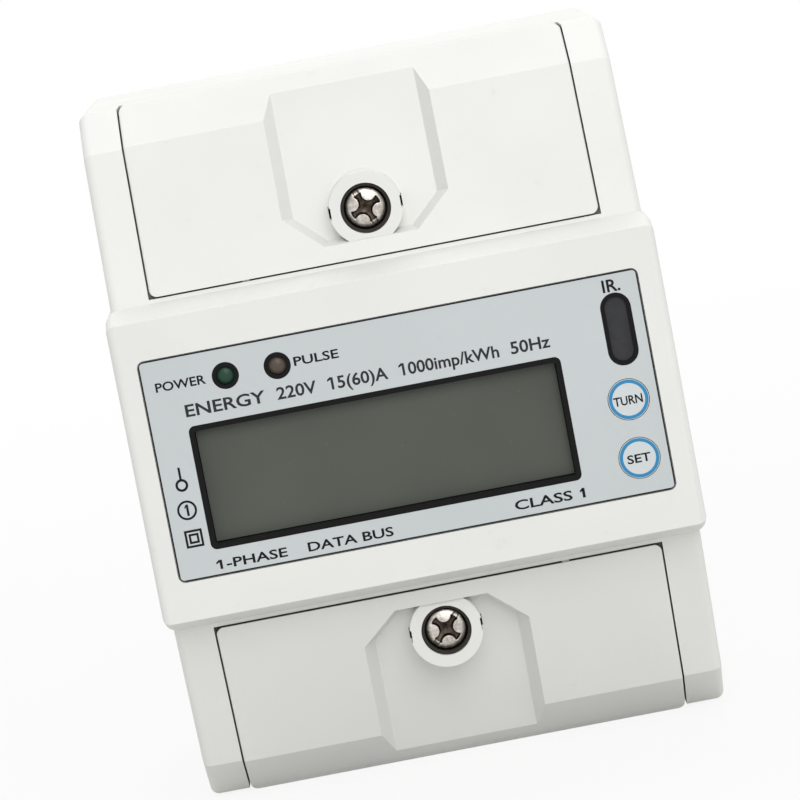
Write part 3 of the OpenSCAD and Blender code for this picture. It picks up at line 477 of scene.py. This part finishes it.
def screw_mesh(name, node, turn):
    """A pan head with a combined cross and slot, its shank and a rolled thread."""
    low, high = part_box(node)
    x0, z0 = (low[0] + high[0]) / 2, (low[2] + high[2]) / 2
    radius = (high[0] - low[0]) / 2 / MM
    back = low[1] / MM + 2.0
    rings, spokes = 44, 144
    verts, faces = [], []
    def circle(r, y_of):
        for s in range(spokes):
            a = 2 * math.pi * s / spokes
            x, z = r * math.cos(a), r * math.sin(a)
            verts.append((x0 + x * MM, y_of(x, z) * MM, z0 + z * MM))
    for i in range(1, rings + 1):
        circle((radius - 0.12) * i / rings, lambda x, z: back - screw_top(radius, x, z, turn)[0])
    rim = back - 1.15
    circle(radius - 0.03, lambda x, z: min(rim, back - screw_top(radius, x, z, turn)[0] + 0.12))
    profile = [(radius, rim + 0.2), (radius, back - 0.1), (radius - 0.1, back), (1.7, back)]
    y, tip = back + 0.3, high[1] / MM
    while y < tip - 2.2:
        profile += [(1.4, y), (1.69, y + 0.3), (1.69, y + 0.38), (1.4, y + 0.68)]
        y += 0.8
    profile += [(1.4, tip - 2.0), (0.35, tip)]
    for r, y in profile:
        circle(r, lambda x, z, y=y: y)
    count = len(verts) // spokes
    for i in range(count - 1):
        for s in range(spokes):
            t = (s + 1) % spokes
            faces.append((i * spokes + s, i * spokes + t, (i + 1) * spokes + t, (i + 1) * spokes + s))
    verts.append((x0, (back - screw_top(radius, 0, 0, turn)[0]) * MM, z0))
    verts.append((x0, high[1], z0))
    for s in range(spokes):
        t = (s + 1) % spokes
        faces.append((len(verts) - 2, t, s))
        faces.append((len(verts) - 1, (count - 1) * spokes + s, (count - 1) * spokes + t))
    mesh = mesh_from(name, verts, faces)
    tidy = bmesh.new()
    tidy.from_mesh(mesh)
    bmesh.ops.recalc_face_normals(tidy, faces=tidy.faces)
    tidy.to_mesh(mesh)
    tidy.free()
    for polygon in mesh.polygons:
        x, y, z = polygon.center
        # Faces deep in the cross take slot 1, whose dark colour is painted shade in the recess.
        if y < (back - 0.05) * MM and screw_top(radius, (x - x0) / MM, (z - z0) / MM, turn)[1] > 0.16:
            polygon.material_index = 1
    return mesh


# ---- operators


class METER_OT_housing(bpy.types.Operator):
    """Dress the housing, covers, terminal blocks and latch"""

    bl_idname = "meter.housing"
    bl_label = "Housing and covers"

    def execute(self, context):
        look = context.scene.meter_housing
        grain = 1 / look.grain_size
        # The housing and covers darken the gaps between them with painted shade.
        shell = moulded("housing plastic", look.shell, rough=0.52, grain=grain, painted_shade=look.gap_shade_reach)
        cover = moulded("cover plastic", look.cover, rough=0.5, grain=grain, painted_shade=look.gap_shade_reach)
        block = moulded("terminal block plastic", look.terminal_block, rough=0.55, grain=grain)
        dress(shell, "base_housing", "front_housing")
        dress(cover, "top_terminal_cover", "bottom_terminal_cover")
        dress(block, "main_terminal_block", "aux_terminal_block")
        dress(moulded("latch plastic", (0.03, 0.03, 0.032), rough=0.45, grain=grain, specular=0.3), "rail_latch")
        for node in ("front_housing", "base_housing"):
            soften(node, look.edge_radius)
        for node in ("top_terminal_cover", "bottom_terminal_cover"):
            soften(node, look.cover_radius)
        return {"FINISHED"}


class METER_OT_cover_screws(bpy.types.Operator):
    """Make the two cover screws and dress the cups round their heads"""

    bl_idname = "meter.cover_screws"
    bl_label = "Cover screws"

    def execute(self, context):
        steel = metal("screw steel", (0.80, 0.76, 0.70), (0.42, 0.38, 0.34), rough=0.33, scale=1400.0, relief=0.006)
        # The dark brown metal on the deep faces of the cross is painted shade of the recess.
        painted_recess_shade = metal("screw recess", (0.13, 0.10, 0.08), (0.035, 0.027, 0.021), rough=0.42, scale=1500.0, relief=0.01)
        cup = moulded("dark screw cup", (0.034, 0.029, 0.025), rough=0.5, specular=0.15)
        dress(cup, "top_screw_cup", "bottom_screw_cup")
        for name, node, turn in (("top_screw", "top_cover_screw", 69), ("bottom_screw", "bottom_cover_screw", 1)):
            piece = new_piece(name, screw_mesh(name, node, turn), "housing", steel)
            piece.data.materials.append(painted_recess_shade)
            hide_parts(node)
        return {"FINISHED"}


class METER_OT_faceplate(bpy.types.Operator):
    """Dress the faceplate, display, lamps, infrared window and button caps"""

    bl_idname = "meter.faceplate"
    bl_label = "Faceplate and display"

    def execute(self, context):
        look = context.scene.meter_plate
        film = moulded("printed film", look.film, rough=0.4, grain=5000.0, relief=0.004, specular=0.35)
        black = moulded("black plastic", (0.007, 0.007, 0.007), rough=0.5, specular=0.1)
        cap = moulded("button film", [min(1.0, c * 1.12) for c in look.film], rough=0.34, grain=5000.0, relief=0.004)
        dress(film, "faceplate")
        dress(cap, "turn_button", "set_button")
        dress(black, "lcd_bezel", "lamp_rings", "infrared_frame", "turn_switch", "set_switch", "metering_chip", "optocouplers")
        dress(self.display(look.glass), "lcd_panel")
        dress(moulded("green lens", (0.017, 0.052, 0.033), rough=0.3, specular=0.25), "power_lamp")
        dress(moulded("clear lens", (0.088, 0.070, 0.054), rough=0.3, specular=0.25), "pulse_lamp")
        dress(self.dark_window(), "infrared_window")
        dress(moulded("dark diode", (0.02, 0.018, 0.025), rough=0.15, specular=0.6), "infrared_diodes")
        dress(moulded("light guide", (0.80, 0.81, 0.76), rough=0.3), "lcd_backlight")
        return {"FINISHED"}

    def display(self, base):
        """Grey-green glass with a slow drift of colour and a few faint specks under the surface."""
        material, w, shader = principled("display glass", Specular_IOR_Level=0.22)
        place = w.add("ShaderNodeTexCoord").outputs["Object"]
        drift = w.add("ShaderNodeTexNoise", {"Vector": place, "Scale": 60.0, "Detail": 1.5})
        specks = w.add("ShaderNodeTexVoronoi", {"Vector": place, "Scale": 420.0})
        dots = w.add(
            "ShaderNodeMapRange",
            {"Value": specks.outputs["Distance"], "From Min": 0.05, "From Max": 0.09, "To Min": 1.0, "To Max": 0.0},
        )
        tone = w.add(
            "ShaderNodeMapRange",
            {"Value": drift.outputs[0], "From Min": 0.3, "From Max": 0.7, "To Min": 0.0, "To Max": 1.0},
        )
        mixed = mix_colours(w, tone.outputs[0], tuple(c * 0.94 for c in base), tuple(c * 1.07 for c in base))
        light = w.add("ShaderNodeMath", {0: dots.outputs[0], 1: 0.25}, operation="MULTIPLY")
        spotted = mix_colours(w, light.outputs[0], mixed, tuple(c * 1.7 for c in base))
        w.feed(spotted, shader.inputs["Base Color"])
        haze = w.add(
            "ShaderNodeMapRange",
            {"Value": drift.outputs[0], "From Min": 0.2, "From Max": 0.8, "To Min": 0.34, "To Max": 0.46},
        )
        w.feed(haze.outputs[0], shader.inputs["Roughness"])
        return material

    def dark_window(self):
        """Dark infrared filter, a little lighter than its frame, with soft cloudy reflections."""
        material, w, shader = principled("infrared filter", Specular_IOR_Level=0.2)
        place = w.add("ShaderNodeTexCoord").outputs["Object"]
        cloud = w.add("ShaderNodeTexNoise", {"Vector": place, "Scale": 320.0, "Detail": 2.0})
        w.feed(
            mix_colours(w, cloud.outputs[0], (0.020, 0.020, 0.022), (0.048, 0.049, 0.052)), shader.inputs["Base Color"]
        )
        haze = w.add(
            "ShaderNodeMapRange",
            {"Value": cloud.outputs[0], "From Min": 0.3, "From Max": 0.7, "To Min": 0.2, "To Max": 0.35},
        )
        w.feed(haze.outputs[0], shader.inputs["Roughness"])
        return material


class METER_OT_print(bpy.types.Operator):
    """Print the words and signs on the faceplate and the buttons, and paint a thin dark shadow line round the
    faceplate's edge
    """

    bl_idname = "meter.print"
    bl_label = "Printed words and signs"

    def execute(self, context):
        look = context.scene.meter_plate
        thick = look.print_thickness
        ink = moulded("printing ink", look.ink, rough=0.5, grain=6000.0, relief=0.002, specular=0.15)
        grey = moulded("grey ink", look.grey_ink, rough=0.5, grain=6000.0, relief=0.002, specular=0.15)
        blue = moulded("blue ink", look.ring, rough=0.4, grain=6000.0, relief=0.002)
        words = [
            ("word_power", "POWER", -32.8, -25.85, 11.6, 1.28, PLATE, "housing"),
            ("word_pulse", "PULSE", -13.6, -7.4, 11.65, 1.25, PLATE, "housing"),
            ("word_energy", "ENERGY", -29.4, -18.3, 7.75, 1.72, PLATE, "housing"),
            ("word_volts", "220V", -16.7, -11.2, 7.75, 1.72, PLATE, "housing"),
            ("word_amps", "15(60)A", -9.15, -1.3, 7.75, 1.72, PLATE, "housing"),
            ("word_rate", "1000imp/kWh", 0.75, 14.15, 7.8, 1.72, PLATE, "housing"),
            ("word_hertz", "50Hz", 15.8, 21.25, 7.85, 1.72, PLATE, "housing"),
            ("word_phase", "1-PHASE", -28.8, -19.4, -13.9, 1.3, PLATE, "housing"),
            ("word_data", "DATA BUS", -16.5, -4.6, -13.85, 1.3, PLATE, "housing"),
            ("word_class", "CLASS 1", 12.4, 22.2, -13.6, 1.35, PLATE, "housing"),
            ("word_infrared", "IR.", 29.6, 32.05, 13.75, 1.75, PLATE, "housing"),
            ("word_turn", "TURN", 28.3, 32.3, -2.2, 1.25, CAP, "turn_button"),
            ("word_set", "SET", 28.7, 31.95, -10.35, 1.2, CAP, "set_button"),
        ]
        ratings = ("word_energy", "word_volts", "word_amps", "word_rate", "word_hertz")
        for name, text, low, high, mid, tall, depth, body in words:
            mesh = lettering(name, text, low, high, mid, tall, depth, thick)
            new_piece(name, mesh, body, grey if name in ratings else ink)
        low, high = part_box("faceplate")
        mid, wide, tall = centre("faceplate"), high[0] - low[0], high[2] - low[2]
        # The thin ink line round the faceplate's edge is painted shadow of the narrow gap between the film and the
        # housing's recess.
        line = 0.17 * MM
        signs = [
            ("painted_gap_shadow", [
                plate_loop(mid[0], mid[2], wide, tall, 0.9 * MM),
                plate_loop(mid[0], mid[2], wide - 2 * line, tall - 2 * line, 0.5 * MM),
            ]),
            ("sign_one", [circle_loop(-31.78 * MM, -5.73 * MM, r * MM) for r in (1.36, 1.06)]),
            ("sign_pole", [circle_loop(-31.83 * MM, -2.22 * MM, r * MM) for r in (0.88, 0.54)]),
            ("sign_outer_square", [square_loop(-31.57 * MM, -9.73 * MM, side * MM) for side in (2.45, 1.83)]),
            ("sign_inner_square", [square_loop(-31.57 * MM, -9.73 * MM, side * MM) for side in (1.38, 0.78)]),
            ("sign_line", [bar_loop(-31.83, -1.42, 0.28, 0.32)]),
            ("figure_one", [figure_one_loop(-31.78, -5.73, 1.6, 0.32)]),
            ("flag_amps", [flag_loop(-9.15, 8.61)]),
            ("flag_rate", [flag_loop(0.75, 8.66)]),
            ("flag_phase", [flag_loop(-28.8, -13.25)]),
            ("flag_class", [flag_loop(21.98, -12.93)]),
        ]
        for name, loops in signs:
            new_piece(name, thick_outline(name, loops, PLATE, thick), "housing", ink)
        for name, body, node in (("ring_turn", "turn_button", "turn_button"), ("ring_set", "set_button", "set_button")):
            low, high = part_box(node)
            x, z = (low[0] + high[0]) / 2, (low[2] + high[2]) / 2
            loops = [circle_loop(x, z, 2.72 * MM, 96), circle_loop(x, z, 2.26 * MM, 96)]
            new_piece(name, thick_outline(name, loops, CAP, thick), body, blue)
        return {"FINISHED"}


def bar_loop(x, low, high, wide):
    """A thin upright bar as an outline, sizes in mm."""
    h = wide / 2
    return [((x + sx * h) * MM, z * MM) for sx, z in ((-1, low), (1, low), (1, high), (-1, high))]


def flag_loop(x, top):
    """The flag of a figure 1 whose stroke starts at x, sizes in mm."""
    return [(px * MM, pz * MM) for px, pz in ((x, top), (x - 0.46, top - 0.34), (x - 0.46, top - 0.6), (x, top - 0.36))]


class METER_OT_inner_parts(bpy.types.Operator):
    """Dress the boards, their components and the ribbon cable"""

    bl_idname = "meter.inner_parts"
    bl_label = "Boards and components"

    def execute(self, context):
        dress(moulded("solder mask", (0.018, 0.10, 0.045), rough=0.35, coat=0.3), "display_board", "main_board")
        dress(moulded("nylon", (0.60, 0.55, 0.44), rough=0.5), "ribbon_sockets")
        dress(moulded("ribbon cable", (0.42, 0.42, 0.44), rough=0.5), "ribbon_cable")
        dress(moulded("varnished core", (0.07, 0.065, 0.06), rough=0.45), "transformer")
        dress(moulded("yellow case", (0.62, 0.42, 0.05), rough=0.35), "film_capacitor")
        dress(moulded("dark sleeve", (0.02, 0.025, 0.06), rough=0.3), "smoothing_capacitor")
        dress(moulded("blue lacquer", (0.02, 0.07, 0.30), rough=0.35), "varistor")
        return {"FINISHED"}


class METER_OT_metal_parts(bpy.types.Operator):
    """Dress the busbars, contacts, terminal screws, cages and the latch's spring"""

    bl_idname = "meter.metal_parts"
    bl_label = "Metal parts"

    def execute(self, context):
        copper = metal("copper", (0.66, 0.31, 0.16), (0.40, 0.17, 0.09), rough=0.3)
        dress(copper, "line_in_busbar", "line_out_busbar", "neutral_busbar")
        dress(metal("resistance alloy", (0.40, 0.34, 0.27), (0.25, 0.21, 0.17), rough=0.4), "current_shunt")
        dress(metal("brass", (0.66, 0.52, 0.22), (0.40, 0.30, 0.12), rough=0.3), "tap_pins", "aux_contacts")
        zinc = metal("zinc plate", (0.60, 0.61, 0.62), (0.36, 0.37, 0.38), rough=0.28)
        cage = metal("passivated steel", (0.62, 0.56, 0.38), (0.38, 0.33, 0.20), rough=0.32)
        for i in range(1, 5):
            dress(zinc, f"main_screw_{i}", f"aux_screw_{i}")
            dress(cage, f"main_cage_{i}", f"aux_cage_{i}")
        dress(zinc, "latch_spring", "housing_screws")
        return {"FINISHED"}


class METER_OT_stage(bpy.types.Operator):
    """Set the floor, soft light and camera"""

    bl_idname = "meter.stage"
    bl_label = "Floor, light and camera"

    def execute(self, context):
        look = context.scene.meter_stage
        scene = context.scene
        scene.view_settings.view_transform = "Standard"
        self.floor(look)
        self.world(scene, look)
        self.lamps(look)
        self.camera(scene)
        return {"FINISHED"}

    def floor(self, look):
        mesh = bpy.data.meshes.new("floor")
        z, far = CAD_BOX[0][2] - 0.05 * MM, 3.0
        mesh.from_pydata([(-far, -far, z), (far, -far, z), (far, far, z), (-far, far, z)], [], [(0, 1, 2, 3)])
        floor = bpy.data.objects.new("floor", mesh)
        bpy.context.scene.collection.objects.link(floor)
        material, w, shader = principled("floor", Roughness=0.9, Specular_IOR_Level=0.1)
        place = w.add("ShaderNodeTexCoord").outputs["Object"]
        paper = w.add("ShaderNodeTexNoise", {"Vector": place, "Scale": 40.0, "Detail": 3.0})
        w.feed(
            mix_colours(w, paper.outputs[0], tuple(c * 0.98 for c in look.floor), tuple(c * 1.02 for c in look.floor)),
            shader.inputs["Base Color"],
        )
        ray = w.add("ShaderNodeLightPath")
        seen = w.add("ShaderNodeMath", {0: ray.outputs["Is Camera Ray"], 1: ray.outputs["Is Glossy Ray"]}, operation="MAXIMUM")
        seen = w.add("ShaderNodeMath", {0: seen.outputs[0], 1: ray.outputs["Is Transmission Ray"]}, operation="MAXIMUM")
        white = w.add("ShaderNodeEmission", {"Color": (1, 1, 1), "Strength": 1.0})
        away = w.add("ShaderNodeVectorMath", {0: place}, operation="LENGTH")
        white_share = w.add(
            "ShaderNodeMapRange",
            {"Value": away.outputs["Value"], "From Min": 0.08, "From Max": 0.55, "To Min": 0.88, "To Max": 1.0},
        )
        share = w.add("ShaderNodeMath", {0: seen.outputs[0], 1: white_share.outputs[0]}, operation="MULTIPLY")
        mix = w.add("ShaderNodeMixShader", {0: share.outputs[0], 1: shader.outputs[0], 2: white.outputs[0]})
        below = w.add("ShaderNodeNewGeometry").outputs["Backfacing"]
        clear = w.add("ShaderNodeBsdfTransparent")
        mix = w.add("ShaderNodeMixShader", {0: below, 1: mix.outputs[0], 2: clear.outputs[0]})
        out = next(n for n in material.node_tree.nodes if n.type == "OUTPUT_MATERIAL")
        w.feed(mix.outputs[0], out.inputs["Surface"])
        mesh.materials.append(material)

    def world(self, scene, look):
        world = bpy.data.worlds.new("studio")
        scene.world = world
        world.use_nodes = True
        w = Wires(world.node_tree)
        world.node_tree.nodes.clear()
        place = w.add("ShaderNodeTexCoord").outputs["Generated"]
        up = w.add("ShaderNodeSeparateXYZ", {0: place}).outputs["Z"]
        level = w.add(
            "ShaderNodeMapRange", {"Value": up, "From Min": -0.6, "From Max": 0.6, "To Min": look.ground, "To Max": look.sky}
        )
        soft = w.add("ShaderNodeBackground", {"Color": (1, 1, 1), "Strength": level.outputs[0]})
        white = w.add("ShaderNodeBackground", {"Color": (1, 1, 1), "Strength": 1.0})
        ray = w.add("ShaderNodeLightPath")
        seen = w.add("ShaderNodeMath", {0: ray.outputs["Is Camera Ray"], 1: ray.outputs["Is Glossy Ray"]}, operation="MAXIMUM")
        seen = w.add("ShaderNodeMath", {0: seen.outputs[0], 1: ray.outputs["Is Transmission Ray"]}, operation="MAXIMUM")
        mix = w.add("ShaderNodeMixShader", {0: seen.outputs[0], 1: soft.outputs[0], 2: white.outputs[0]})
        out = w.add("ShaderNodeOutputWorld")
        w.feed(mix.outputs[0], out.inputs["Surface"])

    def lamps(self, look):
        for name, size, power, place in (
            ("key", 1.1, look.key, (0.25, -1.3, 0.78)),
            ("top", 0.9, look.top, (0.05, 0.62, 1.15)),
        ):
            data = bpy.data.lights.new(name, "AREA")
            data.shape, data.size, data.energy = "DISK", size, power
            lamp = bpy.data.objects.new(name, data)
            bpy.context.scene.collection.objects.link(lamp)
            lamp.location = place
            lamp.rotation_euler = (-lamp.location).to_track_quat("-Z", "Y").to_euler()

    def camera(self, scene):
        """The photograph's view, from a fit of the meter's edges: place in mm from the front, angles in degrees."""
        focal, aside, away, above = 4615.2, -0.43, 625.7, 78.2
        yaw, pitch, roll = (math.radians(a) for a in (0.009, -6.789, -10.838))
        ahead = Vector((math.sin(yaw) * math.cos(pitch), math.cos(yaw) * math.cos(pitch), math.sin(pitch)))
        right = ahead.cross(Vector((0, 0, 1))).normalized()
        up = right.cross(ahead)
        turned = math.cos(roll) * right + math.sin(roll) * up
        raised = -math.sin(roll) * right + math.cos(roll) * up
        data = bpy.data.cameras.new("camera")
        data.sensor_width = 36.0
        data.lens = data.sensor_width * focal / 800
        camera = bpy.data.objects.new("camera", data)
        scene.collection.objects.link(camera)
        matrix = Matrix((turned, raised, -ahead)).transposed().to_4x4()
        matrix.translation = Vector((aside * MM, FRONT - away * MM, above * MM))
        camera.matrix_world = matrix
        data.clip_start, data.clip_end = 0.01, 20
        scene.camera = camera


class METER_PT_looks(bpy.types.Panel):
    """Lists the meter's pieces and their looks"""

    bl_idname = "METER_PT_looks"
    bl_label = "Energy meter"
    bl_space_type = "VIEW_3D"
    bl_region_type = "UI"
    bl_category = "Energy meter"

    def draw(self, context):
        for group in (context.scene.meter_housing, context.scene.meter_plate, context.scene.meter_stage):
            box = self.layout.box()
            for name in group.__annotations__:
                box.prop(group, name)
        for operator in OPERATORS:
            self.layout.operator(operator.bl_idname)


OPERATORS = (
    METER_OT_housing,
    METER_OT_cover_screws,
    METER_OT_faceplate,
    METER_OT_print,
    METER_OT_inner_parts,
    METER_OT_metal_parts,
    METER_OT_stage,
)
GROUP_CLASSES = (MeterHousingLooks, MeterPlateLooks, MeterStageLooks)


def register():
    for item in (*GROUP_CLASSES, *OPERATORS, METER_PT_looks):
        bpy.utils.register_class(item)
    bpy.types.Scene.meter_housing = PointerProperty(type=MeterHousingLooks)
    bpy.types.Scene.meter_plate = PointerProperty(type=MeterPlateLooks)
    bpy.types.Scene.meter_stage = PointerProperty(type=MeterStageLooks)


def unregister():
    del bpy.types.Scene.meter_stage
    del bpy.types.Scene.meter_plate
    del bpy.types.Scene.meter_housing
    for item in reversed((*GROUP_CLASSES, *OPERATORS, METER_PT_looks)):
        bpy.utils.unregister_class(item)


def main():
    register()
    for operator in OPERATORS:
        module, name = operator.bl_idname.split(".")
        getattr(getattr(bpy.ops, module), name)()


if __name__ == "__main__":
    main()
